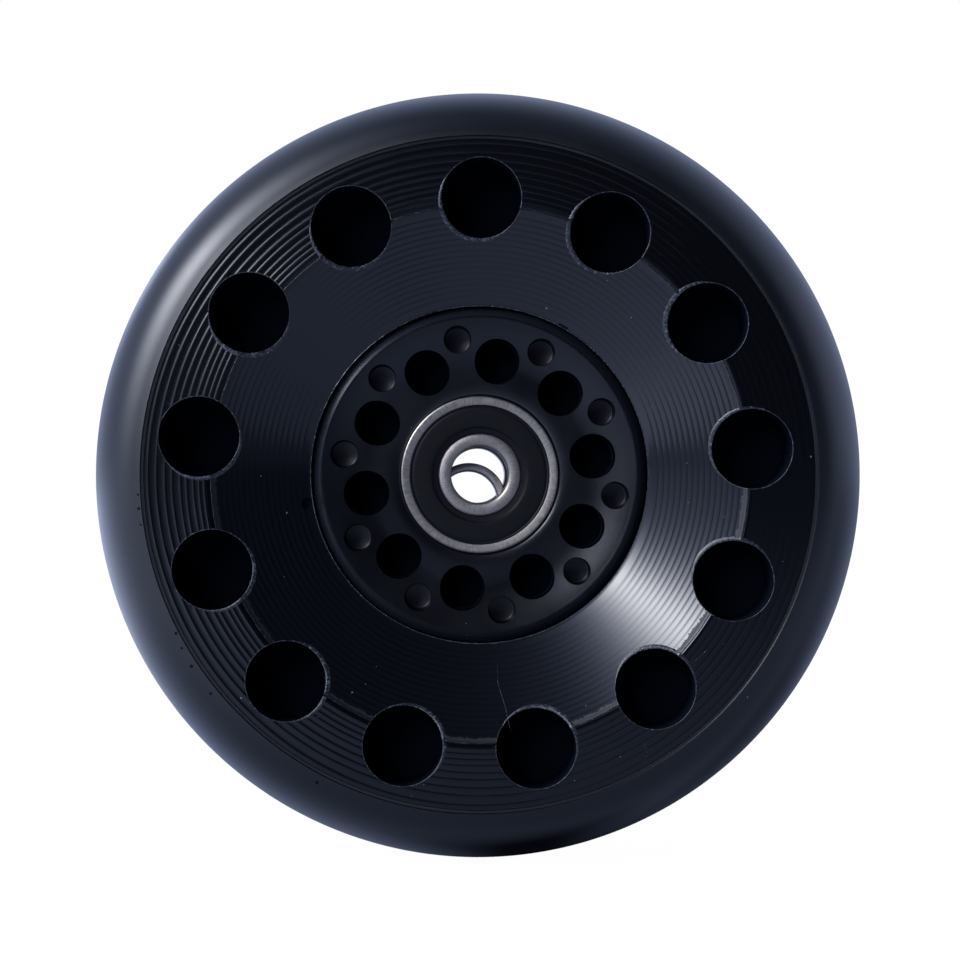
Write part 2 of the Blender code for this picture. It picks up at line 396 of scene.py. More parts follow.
def tyre_material():
    """Cast urethane: satin, faintly uneven, with dust in its skin."""
    made, nodes, surface = shader("tyre_urethane")
    where, radius, angle, _ = nodes.polar()
    cloud = nodes.noise(where, 55.0, 3.0)
    fine = nodes.noise(where, 900.0, 2.0)
    dust = nodes.specks(where, 300.0, 0.05, 0.2)
    body = nodes.mix(cloud, (0.0004, 0.0006, 0.0012, 1), (0.0007, 0.0010, 0.0018, 1))
    nodes.put(surface.inputs["Base Color"], nodes.mix(dust, body, (0.10, 0.11, 0.13, 1)))
    rough = nodes.rescale(cloud, 0.3, 0.7, 0.27, 0.32)
    nodes.put(
        surface.inputs["Roughness"],
        nodes.math("ADD", rough, nodes.math("MULTIPLY", fine, 0.03)),
    )
    peel = nodes.math(
        "ADD", nodes.noise(where, 420.0, 3.0), nodes.math("MULTIPLY", fine, 0.25)
    )
    bump(nodes, surface, peel, 0.00002, 0.5)
    return made


def core_material(name, gloss):
    """Turned plastic: glossy on the cone, duller with fine lines on the outer zone."""
    made, nodes, surface = shader(name, **{"Specular IOR Level": gloss})
    where, radius, angle, _ = nodes.polar()
    cloud = nodes.noise(where, 70.0, 3.0)
    outer = nodes.rescale(radius, 0.0378, 0.0382, 0.0, 1.0)
    dust = nodes.specks(where, 330.0, 0.055, 0.22)
    lint = nodes.specks(where, 620.0, 0.06, 0.16, (0.3, 0.1, 0.7))
    dust = nodes.math("MAXIMUM", dust, lint)
    body = nodes.mix(cloud, (0.0003, 0.0005, 0.0010, 1), (0.0006, 0.0008, 0.0015, 1))
    nodes.put(surface.inputs["Base Color"], nodes.mix(dust, body, (0.09, 0.10, 0.12, 1)))
    # Turning leaves streaks that keep their radius.
    line = nodes.add(
        "ShaderNodeCombineXYZ",
        {"X": nodes.math("MULTIPLY", radius, 4200.0), "Y": nodes.math("MULTIPLY", angle, 1.6)},
    ).outputs[0]
    streak = nodes.noise(line, 1.0, 4.0, 0.6)
    satin = nodes.math("ADD", nodes.math("MULTIPLY", outer, 0.07), 0.075)
    # A rough strip with a ragged edge runs along the inside of the step.
    ragged = nodes.math("MULTIPLY", nodes.noise(where, 1500.0, 3.0, 0.7), 0.0012)
    torn = nodes.math(
        "MULTIPLY",
        nodes.rescale(nodes.math("ADD", radius, ragged), 0.03728, 0.03738, 0.0, 1.0),
        nodes.rescale(radius, 0.03738, 0.03744, 1.0, 0.0),
    )
    satin = nodes.math("ADD", satin, nodes.math("MULTIPLY", torn, 0.24))
    nodes.put(
        surface.inputs["Roughness"],
        nodes.math("ADD", satin, nodes.math("MULTIPLY", streak, 0.05)),
    )
    bump(nodes, surface, streak, 0.000004, 0.5)
    return made


def burr_material():
    """Torn and rolled-over edges of the turned core."""
    made, nodes, surface = shader("core_burr")
    where, radius, angle, _ = nodes.polar()
    grit = nodes.noise(where, 2600.0, 3.0, 0.7)
    torn = nodes.rescale(grit, 0.50, 0.72, 0.0, 1.0)
    nodes.put(
        surface.inputs["Base Color"],
        nodes.mix(torn, (0.004, 0.005, 0.008, 1), (0.09, 0.10, 0.12, 1)),
    )
    nodes.put(surface.inputs["Roughness"], nodes.rescale(grit, 0.3, 0.7, 0.22, 0.45))
    bump(nodes, surface, grit, 0.00006, 0.7)
    return made


def hub_material():
    """Moulded nylon with a fine grain."""
    made, nodes, surface = shader("hub_nylon")
    where, radius, angle, _ = nodes.polar()
    cloud = nodes.noise(where, 130.0, 4.0)
    grain = nodes.noise(where, 5200.0, 2.0, 0.6)
    dust = nodes.specks(where, 520.0, 0.055, 0.10)
    body = nodes.mix(cloud, (0.0003, 0.0005, 0.0010, 1), (0.0007, 0.0009, 0.0017, 1))
    # The bevel round the rim is given a lighter, bluer tone.
    bevel = nodes.rescale(radius, 0.0222, 0.0225, 0.0, 1.0)
    body = nodes.mix(bevel, body, (0.0060, 0.0070, 0.0095, 1))
    nodes.put(surface.inputs["Base Color"], nodes.mix(dust, body, (0.10, 0.11, 0.13, 1)))
    rough = nodes.math(
        "ADD",
        nodes.rescale(cloud, 0.3, 0.7, 0.155, 0.205),
        nodes.math("MULTIPLY", grain, 0.05),
    )
    nodes.put(
        surface.inputs["Roughness"],
        nodes.math("ADD", rough, nodes.math("MULTIPLY", bevel, 0.02)),
    )
    bump(nodes, surface, grain, 0.000010, 0.6)
    return made


def recess_shade_material(name, roughness, gloss, low, high):
    """Painted shade for the walls and floors of the recesses: a dim, dull skin that reflects little, so they read
    dark.
    """
    made, nodes, surface = shader(name, roughness, **{"Specular IOR Level": gloss})
    where = nodes.place()
    body = nodes.mix(
        nodes.noise(where, 400.0), (*low, 1), (*high, 1)
    )
    nodes.put(surface.inputs["Base Color"], body)
    bump(nodes, surface, nodes.noise(where, 3000.0), 0.00001, 0.4)
    return made


def steel_material(name, low, high, roughness, marks, depth):
    """Ground steel: fine scratches that run out from the axle on the end faces."""
    made, nodes, surface = shader(name, metallic=1.0)
    where, radius, angle, _ = nodes.polar()
    spokes = nodes.add(
        "ShaderNodeCombineXYZ",
        {"X": nodes.math("MULTIPLY", angle, marks), "Y": nodes.math("MULTIPLY", radius, 900.0)},
    ).outputs[0]
    scratch = nodes.noise(spokes, 1.0, 4.0, 0.65)
    cloud = nodes.noise(where, 420.0, 3.0)
    nodes.put(
        surface.inputs["Base Color"],
        nodes.mix(nodes.rescale(scratch, 0.35, 0.65, 0.0, 1.0), (*low, 1), (*high, 1)),
    )
    nodes.put(
        surface.inputs["Roughness"],
        nodes.math(
            "ADD",
            nodes.math("MULTIPLY", cloud, 0.10),
            nodes.math("ADD", nodes.math("MULTIPLY", scratch, 0.12), roughness - 0.11),
        ),
    )
    bump(nodes, surface, scratch, depth, 0.6)
    return made


def seal_material():
    """Moulded nitrile rubber."""
    made, nodes, surface = shader("seal_rubber", **{"Specular IOR Level": 0.14})
    where = nodes.place()
    grain = nodes.noise(where, 4200.0, 3.0)
    cloud = nodes.noise(where, 300.0, 3.0)
    dust = nodes.specks(where, 900.0, 0.06, 0.08)
    body = nodes.mix(cloud, (0.0006, 0.0008, 0.0016, 1), (0.0012, 0.0015, 0.0026, 1))
    nodes.put(surface.inputs["Base Color"], nodes.mix(dust, body, (0.09, 0.09, 0.10, 1)))
    nodes.put(surface.inputs["Roughness"], nodes.rescale(grain, 0.3, 0.7, 0.38, 0.52))
    bump(nodes, surface, grain, 0.000012, 0.6)
    return made


def cage_material():
    """Natural nylon."""
    made, nodes, surface = shader("cage_nylon", **{"Subsurface Weight": 0.1})
    surface.inputs["Subsurface Radius"].default_value = (0.001, 0.0008, 0.0006)
    where = nodes.place()
    cloud = nodes.noise(where, 500.0, 3.0)
    body = nodes.mix(cloud, (0.50, 0.46, 0.36, 1), (0.62, 0.58, 0.48, 1))
    nodes.put(surface.inputs["Base Color"], body)
    nodes.put(surface.inputs["Roughness"], nodes.rescale(cloud, 0.3, 0.7, 0.4, 0.5))
    bump(nodes, surface, nodes.noise(where, 3000.0), 0.00001, 0.4)
    return made


tyre_urethane = tyre_material()
core_gloss = core_material("core_gloss", 0.5)
core_ribbed = core_material("core_ribbed", 0.38)
core_burr = burr_material()
hub_nylon = hub_material()
# Painted shade: the holes' walls and floors get a skin with no reflection, the dimples a dimmer, less reflective
# one.
painted_hole_shade = recess_shade_material("painted_hole_shade", 0.9, 0.0, (0.0024, 0.0038, 0.0066), (0.0034, 0.0052, 0.0090))
painted_dimple_shade = recess_shade_material("painted_dimple_shade", 0.24, 0.20, (0.0006, 0.0008, 0.0014), (0.0011, 0.0014, 0.0022))
ring_steel = steel_material("ring_steel", (0.185, 0.168, 0.150), (0.285, 0.262, 0.235), 0.40, 34.0, 0.000006)
ball_steel = steel_material("ball_steel", (0.60, 0.60, 0.62), (0.68, 0.68, 0.70), 0.12, 6.0, 0.000001)
spacer_steel = steel_material("spacer_steel", (0.22, 0.20, 0.185), (0.32, 0.29, 0.27), 0.36, 20.0, 0.000008)
seal_rubber = seal_material()
cage_nylon = cage_material()


def finish_piece(name, obj, body, slot, nodes, *materials):
    slots = np.zeros(len(obj.data.polygons), np.int32)
    obj.data.polygons.foreach_get("material_index", slots)
    obj.data.materials.clear()
    for made in materials:
        obj.data.materials.append(made)
    obj.data.polygons.foreach_set("material_index", np.minimum(slots, len(materials) - 1))
    obj.data.update()
    if body:
        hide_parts(*nodes)
        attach(obj, body)
    return obj


# ------------------------------------------------------------------------ tyre


def tyre_profile(steps=56):
    start = math.asin((TYRE_SIDE_R - CROWN_R) / (TYRE_R - CROWN_R))
    crown = [
        (
            CROWN_R + (TYRE_R - CROWN_R) * math.sin(start + (math.pi / 2 - start) * k / steps),
            TYRE_HALF * math.cos(start + (math.pi / 2 - start) * k / steps),
        )
        for k in range(steps)
    ]
    # A narrow ledge level with the core, then the cast tyre's lip.
    lip = [
        (TYRE_SIDE_R, TYRE_HALF - 1.2),
        (TYRE_SIDE_R - 0.05, TYRE_HALF - 0.50),
        (TYRE_SIDE_R - 0.04, CORE_FACE - 0.02),
        (TYRE_SIDE_R + 0.33, CORE_FACE),
        (TYRE_SIDE_R + 0.42, TYRE_HALF - 0.09),
        (TYRE_SIDE_R + 0.47, TYRE_HALF - 0.026),
        (TYRE_SIDE_R + 0.53, TYRE_HALF - 0.034),
    ]
    inner = [
        (RIB_R + 0.08, 3.6),
        (TYRE_SIDE_R, 4.4),
    ]
    front = inner + lip + [c for c in crown if c[0] > TYRE_SIDE_R + 0.66]
    return front + [(TYRE_R, 0.0)] + [(r, -h) for r, h in reversed(front)]


def tyre_shift(radius, height, angle):
    inside = np.clip((radius - TYRE_SIDE_R) / 2.0, 0, 1)
    side = np.sign(height)
    flat = ripple(angle, 2, 14, 6, 1) * 0.025 * inside * (radius < TYRE_R - 0.3)
    return np.zeros_like(radius), flat * side * np.clip(np.abs(height) / 3, 0, 1)


def pinhole_cutters():
    """Burst air bubbles in the casting, at (angle, radius, size), front then rear."""
    own = np.random.default_rng(77)
    spots = [
        (183.4, 47.55, 0.17),
        (185.7, 47.6, 0.20),
        (188.4, 47.6, 0.15),
        (207.6, 47.6, 0.22),
        (210.2, 47.9, 0.16),
        (213.6, 48.1, 0.24),
        (219.1, 48.2, 0.20),
        (242.1, 48.4, 0.22),
    ]
    shells = []
    for side in (1, -1):
        if side < 0:
            spots = [(a + own.uniform(20, 60), r, s) for a, r, s in spots]
        for degrees, radius, size in spots:
            t = math.asin((radius - CROWN_R) / (TYRE_R - CROWN_R))
            height = TYRE_HALF * math.cos(t)
            shells.append(
                pocket(
                    [
                        (size * 0.35, height - size * 1.5),
                        (size * 0.9, height - size * 0.9),
                        (size, height - size * 0.2),
                        (size * 1.15, height + 0.4),
                    ],
                    radius,
                    math.radians(degrees),
                    side,
                    12,
                )
            )
    points, faces = gather(shells)
    mesh = mesh_of("pinholes", points, faces)
    fix_normals(mesh)
    return mesh


points, faces = turned(tyre_profile(), 360, tyre_shift)
tyre = thing("tyre_cast", mesh_of("tyre_cast", points, faces))
carve(tyre, pinhole_cutters())
smooth(tyre.data, 40)
finish_piece("tyre_cast", tyre, "wheel", "tyre", ["tyre"], tyre_urethane)


# ------------------------------------------------------------------------ core

CONE_SLOPE = (CONE_TOP - CONE_LOW) / (STEP_R - CORE_BORE_R)
RIDGES = [38.25 + 0.74 * k + 0.03 * k * k for k in range(9)]
TURN_PITCH = 0.8
TURN_CUT = 0.010


def core_height(radius):
    """Height of the core's front face, without its ridges."""
    radius = np.asarray(radius, float)
    cone = CONE_LOW + CONE_SLOPE * (radius - CORE_BORE_R)
    return np.where(radius < STEP_R, cone, CORE_FACE)


def core_front_rows():
    """Rows of (radius, height, ridge number or -1, share of the ridge's height)."""
    rows = [
        (CORE_R, CORE_FACE - 1.8, -1, 0),
        (CORE_R, CORE_FACE - 0.04, -1, 0),
        (CORE_R - 0.04, CORE_FACE, -1, 0),
    ]
    for k in reversed(range(len(RIDGES))):
        for offset, share in ((0.2, -0.25), (0.12, 0.1), (0.05, 0.9), (-0.05, 0.9), (-0.12, 0.1), (-0.2, -0.25)):
            rows.append((RIDGES[k] + offset, CORE_FACE, k, share))
        if k:
            middle = (RIDGES[k] + RIDGES[k - 1]) / 2
            rows.append((middle, CORE_FACE, -1, 0))
    rows += [
        (STEP_R + 0.16, CORE_FACE, -1, 0),
        (STEP_R + 0.05, CORE_FACE - 0.05, -1, 0),
        (STEP_R, CORE_FACE - 0.2, -1, 0),
        (STEP_R - 0.03, CONE_TOP + 0.02, -1, 0),
    ]
    radius = STEP_R - 0.3
    while radius > CORE_BORE_R + 0.95:
        for offset, share in ((0.075, 0.0), (0.02, 0.9), (-0.02, 0.9), (-0.075, 0.0)):
            rows.append((radius + offset, float(core_height(radius + offset)), -2, share))
        rows.append((radius - TURN_PITCH / 2, float(core_height(radius - TURN_PITCH / 2)), -2, 0.0))
        radius -= TURN_PITCH
    rows += [
        (CORE_BORE_R + 0.45, float(core_height(CORE_BORE_R + 0.45)), -1, 0),
        (CORE_BORE_R + 0.12, CONE_LOW + 0.02, -1, 0),
        (CORE_BORE_R, CONE_LOW - 0.06, -1, 0),
    ]
    return rows


def core_profile():
    rows = core_front_rows()
    front = [(r, h) for r, h, _, _ in rows]
    kinds = [(k, s) for _, _, k, s in rows]
    back = [(r, -h) for r, h in reversed(front)]
    bore = [
        (CORE_BORE_R, 3.08),
        (29.08, 3.08),
        (29.08, -3.08),
        (CORE_BORE_R, -3.08),
    ]
    rim = [(CORE_R, -4.2), (RIB_R, -3.4), (RIB_R, 3.4), (CORE_R, 4.2)]
    profile = front + bore + back + rim
    marks = kinds + [(-1, 0)] * 4 + kinds[::-1] + [(-1, 0)] * 4
    return profile, marks


profile, marks = core_profile()
ridge_of = np.array([m[0] for m in marks])[:, None]
share_of = np.array([m[1] for m in marks])[:, None]


def core_shift(radius, height, angle):
    side = np.sign(height)
    dr = np.zeros_like(radius)
    dh = np.zeros_like(radius)
    for k in range(len(RIDGES)):
        on = ridge_of == k
        seed = 10 + k + 40 * (side < 0).astype(int)
        wobble = np.where(
            side < 0, ripple(angle, 1, 6, 4, 60 + k), ripple(angle, 1, 6, 4, 10 + k)
        )
        lift = np.where(
            side < 0, ripple(angle, 3, 60, 9, 90 + k), ripple(angle, 3, 60, 9, 30 + k)
        )
        drift = 0.10 * np.cos(angle - 2.2)
        dr = dr + on * (wobble * 0.07 + drift)
        # The tool lifted towards the right, where the ridges all but vanish.
        fade = 0.16 + 0.84 * np.clip(0.5 - 0.95 * np.cos(angle + 0.25), 0, 1)
        strength = 0.048 * np.clip(0.85 + 0.35 * lift, 0.2, 1.5) * fade
        dh = dh + on * share_of * strength
    # Fine grooves left by the turning tool's feed on the cone.
    turning = ridge_of == -2
    depth = TURN_CUT * (1 + 0.4 * ripple(angle, 1, 9, 5, 5))
    dh = dh - turning * share_of * depth
    dr = dr + turning * 0.05 * np.cos(angle * 2 + 0.7)
    return dr, dh * side


def hole_angles(phase, count):
    return [math.radians(phase) + TAU * k / count for k in range(count)]


points, faces = turned(profile, 312, core_shift)
core = thing("core_turned", mesh_of("core_turned", points, faces))
cutters = [
    pocket(
        [(CORE_HOLE_R, CORE_WEB), (CORE_HOLE_R, CORE_FACE + 2)],
        CORE_PITCH_R,
        angle,
        side,
        80,
        CORE_HOLE_MID,
    )
    for angle in hole_angles(CORE_PHASE, CORE_HOLES)
    for side in (1, -1)
]
# A burst bubble beside the hub.
for side, degrees in ((1, 189.6), (-1, 61.0)):
    cutters.append(
        pocket(
            [
                (0.2, CONE_LOW - 0.55),
                (0.62, CONE_LOW - 0.35),
                (0.82, CONE_LOW),
                (0.86, CONE_LOW + 0.5),
                (0.9, CONE_LOW + 1.3),
            ],
            24.5,
            math.radians(degrees),
            side,
            20,
        )
    )
points, faces = gather(cutters)
cutter_mesh = mesh_of("core_cutters", points, faces)
fix_normals(cutter_mesh)
carve(core, cutter_mesh)


def mark_recesses(mesh, places, radius, slack, index):
    """Gives the faces inside round holes the second material."""
    centres = np.empty(len(mesh.polygons) * 3, np.float32)
    mesh.polygons.foreach_get("center", centres)
    normals = np.empty(len(mesh.polygons) * 3, np.float32)
    mesh.polygons.foreach_get("normal", normals)
    centres = centres.reshape(-1, 3) / MM
    inside = np.zeros(len(centres), bool)
    for (cx, cz), low, high in places:
        near = np.hypot(centres[:, 0] - cx, centres[:, 2] - cz) < radius + slack
        deep = (np.abs(centres[:, 1]) > low - 0.02) & (np.abs(centres[:, 1]) < high)
        inside |= near & deep
    slots = np.zeros(len(centres), np.int32)
    mesh.polygons.foreach_get("material_index", slots)
    slots[inside] = index
    mesh.polygons.foreach_set("material_index", slots)


def spots(phase, count, pitch, low, high, mid=(0.0, 0.0)):
    return [
        ((mid[0] + pitch * math.cos(a), mid[1] + pitch * math.sin(a)), low, high)
        for a in hole_angles(phase, count)
    ]


def hole_lips():
    """A thin rolled edge round each hole, widening to a crescent on one side."""
    shells = []
    around = np.arange(120) * TAU / 120
    for side in (1, -1):
        for k, angle in enumerate(hole_angles(CORE_PHASE, CORE_HOLES)):
            own = np.random.default_rng(900 + k + 50 * (side < 0))
            lean = angle + math.pi - math.radians(45 + own.uniform(-8, 8))
            off = around - lean
            crescent = np.clip(np.cos(off) - 0.12, 0, 1) / 0.88
            grit = ripple(around, 8, 50, 9, 200 + k)
            width = 0.10 + crescent * (0.55 + own.uniform(-0.08, 0.10)) + 0.03 * grit
            lift = 0.035 + 0.05 * crescent + 0.012 * grit
            cx = CORE_HOLE_MID[0] + CORE_PITCH_R * math.cos(angle)
            cz = CORE_HOLE_MID[1] + CORE_PITCH_R * math.sin(angle)

            def row(out, up):
                reach = CORE_HOLE_R + out
                x = cx + reach * np.cos(around)
                z = cz + reach * np.sin(around)
                h = core_height(np.hypot(x, z)) + up
                return np.stack([x, -side * h, z], axis=-1)

            rows = np.stack(
                [
                    row(-0.015, -0.30),
                    row(-0.02, lift * 0.4),
                    row(width * 0.12, lift),
                    row(width * 0.75, lift * 0.75),
                    row(width, -0.03),
                    row(width * 0.5, -0.25),
                ]
            )
            shells.append(closed_bead(rows, True))
    return shells


def flash_line():
    """Torn plastic along the step, between the holes."""
    shells = []
    ends = []
    for angle in hole_angles(CORE_PHASE, CORE_HOLES):
        x = CORE_HOLE_MID[0] + CORE_PITCH_R * math.cos(angle)
        z = CORE_HOLE_MID[1] + CORE_PITCH_R * math.sin(angle)
        out = math.hypot(x, z)
        reach = math.acos((STEP_R**2 + out**2 - CORE_HOLE_R**2) / (2 * STEP_R * out))
        middle = math.atan2(z, x)
        ends.append((middle - reach, middle + reach))
    for side in (1, -1):
        for k in range(CORE_HOLES):
            own = np.random.default_rng(1300 + k + 50 * (side < 0))
            start, end = ends[k][1], ends[(k + 1) % CORE_HOLES][0]
            end = start + (end - start) % TAU
            n = 96
            t = np.linspace(start, end, n)
            rough = own.uniform(0, 1, n) ** 2.2
            rough = np.convolve(np.pad(rough, 1, mode="edge"), [0.2, 0.6, 0.2], "valid")
            radius = STEP_R - 0.02 + 0.05 * ripple(t, 30, 160, 8, 70 + k)
            width = 0.035 + 0.07 * rough
            lift = 0.010 + 0.06 * rough
            rows = [
                place(radius + width, t, side * (CORE_FACE - 0.08)),
                place(radius + width * 0.6, t, side * (CORE_FACE + lift * 0.5)),
                place(radius, t, side * (CORE_FACE + lift)),
                place(radius - width * 0.8, t, side * (CORE_FACE - 0.12 + lift * 0.6)),
                place(radius - width, t, side * (CORE_FACE - 0.5)),
            ]
            shells.append(closed_bead(np.stack(rows), False))
    return shells


def hub_flash():
    """The ragged edge of the core's plastic where it meets the hub."""
    shells = []
    n = 900
    t = np.arange(n) * TAU / n
    for side in (1, -1):
        own = np.random.default_rng(1500 + (side < 0))
        rough = own.uniform(0, 1, n) ** 2
        rough = np.convolve(np.pad(rough, 2, mode="wrap"), [0.1, 0.2, 0.4, 0.2, 0.1], "valid")
        patch = np.clip(0.5 + 0.6 * ripple(t, 1, 12, 6, 88), 0.05, 1.3)
        left = np.clip(0.55 - 0.45 * np.cos(t - math.radians(-35)), 0.1, 1.0)
        lift = 0.03 + 0.34 * rough * patch * left
        width = 0.10 + 0.16 * rough * patch
        inner = CORE_BORE_R + 0.005
        rows = [
            place(inner, t, side * (CONE_LOW - 0.25)),
            place(inner, t, side * (CONE_LOW + lift * 0.7)),
            place(inner + width * 0.35, t, side * (CONE_LOW + lift)),
            place(inner + width, t, side * (CONE_LOW + 0.3 * width - 0.02)),
            place(inner + width, t, side * (CONE_LOW - 0.25)),
        ]
        shells.append(closed_bead(np.stack(rows), True))
    return shells


def scratches(lines, width, lift, height_of):
    """Thin raised scores along (radius, angle) lines in the front face."""
    shells = []
    for line in lines:
        line = np.asarray(line, float)
        t = np.linspace(0, len(line) - 1, 24)
        radius = np.interp(t, np.arange(len(line)), line[:, 0])
        angle = np.radians(np.interp(t, np.arange(len(line)), line[:, 1]))
        centre = place(radius, angle, height_of(radius))
        along = np.gradient(centre, axis=0)
        along /= np.linalg.norm(along, axis=1)[:, None]
        up = np.tile([0.0, -1.0, 0.0], (len(centre), 1))
        across = np.cross(up, along)
        taper = np.sin(np.linspace(0.15, math.pi - 0.15, len(centre)))
        rows = bead(
            centre,
            across,
            up,
            [(-width * taper, -0.05), (-width * 0.4 * taper, lift), (width * 0.4 * taper, lift), (width * taper, -0.05)],
        )
        shells.append(closed_bead(rows, False))
    return shells


# The walls and floors of the holes and bubbles get the painted-shade material.
mark_recesses(
    core.data,
    spots(CORE_PHASE, CORE_HOLES, CORE_PITCH_R, CORE_WEB, CORE_FACE - 0.12, CORE_HOLE_MID),
    CORE_HOLE_R, 0.01, 1,
)
bubbles = [(math.radians(189.6), 24.5), (math.radians(61.0), 24.5)]
mark_recesses(
    core.data,
    [((r * math.cos(a), r * math.sin(a)), CONE_LOW - 0.6, CONE_LOW + 0.18) for a, r in bubbles],
    0.86, 0.0, 1,
)


def mark_ribbed(mesh, index):
    """Gives the faces of the ribbed outer zone their own material."""
    centres = np.empty(len(mesh.polygons) * 3, np.float32)
    mesh.polygons.foreach_get("center", centres)
    centres = centres.reshape(-1, 3) / MM
    radius = np.hypot(centres[:, 0], centres[:, 2])
    slots = np.zeros(len(centres), np.int32)
    mesh.polygons.foreach_get("material_index", slots)
    ribbed = (radius > STEP_R + 0.02) & (np.abs(centres[:, 1]) > CORE_FACE - 0.2)
    slots[ribbed & (slots == 0)] = index
    mesh.polygons.foreach_set("material_index", slots)


mark_ribbed(core.data, 2)
smooth(core.data, 40)
finish_piece(
    "core_turned", core, "wheel", "core_gloss", ["wheel_core"], core_gloss, painted_hole_shade, core_ribbed
)

points, faces = gather(
    hole_lips()
    + flash_line()
    + hub_flash()
    + scratches(
        [
            [(42.9, 301.2), (43.9, 301.4), (45.2, 301.0), (46.3, 299.4)],
            [(26.5, 275.2), (29.5, 275.0), (32.5, 276.2), (36.0, 276.8)],
            [(39.4, 317.0), (39.9, 322.5)],
        ],
        0.07,
        0.02,
        core_height,
    )
)
edges = thing("core_edges", mesh_of("core_edges", points, faces))
smooth(edges.data, 50)
finish_piece("core_edges", edges, "wheel", "core_gloss", ["wheel_core"], core_burr)


# ------------------------------------------------------------------------- hub


def hub_height(radius):
    """The dished face: level at the bearing, steepest half-way, level at the rim."""
    share = np.clip((np.asarray(radius, float) - HUB_DISH_R) / (HUB_RIM_R - HUB_DISH_R), 0, 1)
    rise = 0.5 * share * share * (3 - 2 * share) + 0.5 * share**1.8
    return HUB_FLOOR + (HUB_FACE - HUB_FLOOR) * rise


def hub_front():
    edge = HUB_R - HUB_RIM_R
    rows = [(29.0, 3.0), (HUB_R + 0.02, 3.0), (HUB_R, 4.0), (HUB_R, 9.9)]
    # The rim falls away in a steep bevel.
    rows += [
        (HUB_R, HUB_FACE - edge + 0.02),
        (HUB_R - 0.05, HUB_FACE - edge + 0.13),
        (HUB_R - 0.13, HUB_FACE - edge + 0.24),
        (HUB_R - 0.55, HUB_FACE - edge + 0.68),
        (HUB_R - 1.0, HUB_FACE - edge + 1.13),
        (HUB_RIM_R + 0.14, HUB_FACE),
        (HUB_RIM_R - 0.08, HUB_FACE),
    ]
    rows += [(r, float(hub_height(r))) for r in np.linspace(21.85, HUB_DISH_R, 26)]
    rows += [(14.3, HUB_FLOOR), (13.6, HUB_FLOOR), (13.1, HUB_FLOOR)]
    rows += [(12.6, 11.198), (12.2, 11.185), (11.8, 11.155), (11.5, 11.12), (11.3, 11.08), (11.15, 11.0)]
    rows += [(11.05, 10.8), (11.05, 4.95), (9.35, 4.95)]
    return rows


front = hub_front()
profile = front + [(r, -h) for r, h in reversed(front)]
points, faces = turned(profile, 288)
hub = thing("hub_moulded", mesh_of("hub_moulded", points, faces))
cutters = []
for side in (1, -1):
    for angle in hole_angles(HUB_PHASE, HUB_HOLES):
        cutters.append(
            pocket(
                [
                    (HUB_HOLE_R, HUB_HOLE_FLOOR),
                    (HUB_HOLE_R, 10.95),
                    (HUB_HOLE_R + 0.30, 11.55),
                    (HUB_HOLE_R + 0.40, 13.5),
                ],
                HUB_PITCH_R,
                angle,
                side,
                56,
            )
        )
    for angle in hole_angles(DIMPLE_PHASE, HUB_HOLES):
        cutters.append(
            pocket(
                [
                    (DIMPLE_R - 0.30, DIMPLE_FLOOR),
                    (DIMPLE_R - 0.10, DIMPLE_FLOOR + 0.05),
                    (DIMPLE_R, DIMPLE_FLOOR + 0.2),
                    (DIMPLE_R + 0.01, 11.4),
                    (DIMPLE_R + 0.22, 11.9),
                    (DIMPLE_R + 0.3, 13.5),
                ],
                DIMPLE_PITCH_R,
                angle,
                side,
                44,
            )
        )
points, faces = gather(cutters)
cutter_mesh = mesh_of("hub_cutters", points, faces)
fix_normals(cutter_mesh)
carve(hub, cutter_mesh)
# The hub's holes and dimples get the painted-shade materials.
mark_recesses(
    hub.data, spots(HUB_PHASE, HUB_HOLES, HUB_PITCH_R, HUB_HOLE_FLOOR, 10.96), HUB_HOLE_R, 0.01, 1
)
mark_recesses(
    hub.data, spots(DIMPLE_PHASE, HUB_HOLES, DIMPLE_PITCH_R, DIMPLE_FLOOR, 11.2), DIMPLE_R, 0.01, 2
)
smooth(hub.data, 38)
finish_piece("hub_moulded", hub, "wheel", "hub_nylon", ["hub"], hub_nylon, painted_hole_shade, painted_dimple_shade)


# -------------------------------------------------------------------- bearings


def race(side, land, steps=14):
    reach = math.acos((land - BALL_PITCH_R) * side / 2.07)
    return [
        (BALL_PITCH_R + side * 2.07 * math.cos(a), 2.07 * math.sin(a))
        for a in np.linspace(reach, -reach, steps)
    ]


def both_ends(front_rows):
    return front_rows + [(r, -h) for r, h in reversed(front_rows)]


outer_rows = [
    (8.95, 2.65),
    (9.82, 2.65),
    (9.82, 3.42),
    (9.85, 3.48),
    (9.92, 3.5),
    (10.80, 3.5),
    (10.83, 3.47),
    (10.86, 3.1),
    (11.0, 3.0),
]
outer_ring = both_ends(outer_rows) + race(1, 8.95)[::-1][1:-1]
inner_rows = [
    (6.05, 2.65),
    (5.65, 2.65),
    (5.65, 3.40),
    (5.61, 3.47),
    (5.54, 3.5),
    (4.36, 3.5),
    (4.27, 3.47),
    (4.04, 3.24),
    (4.0, 3.14),
]
inner_ring = both_ends(inner_rows) + race(-1, 6.05)[::-1][1:-1]
seal_rows = [
    (9.77, 2.75),
    (9.77, 3.30),
    (9.72, 3.35),
    (9.62, 3.35),
    (9.56, 3.31),
    (9.50, 3.27),
    (9.40, 3.28),
    (9.33, 3.33),
    (9.25, 3.34),
    (8.6, 3.345),
    (7.6, 3.345),
    (6.84, 3.35),
    (6.74, 3.335),
    (6.68, 3.28),
    (6.62, 3.18),
    (6.55, 3.15),
    (6.1, 3.15),
    (5.92, 3.13),
    (5.80, 3.08),
    (5.78, 3.0),
    (5.78, 2.75),
]
cage_rows = [(8.6, 0.9), (8.6, -2.6), (6.5, -2.6), (6.5, 0.9)]


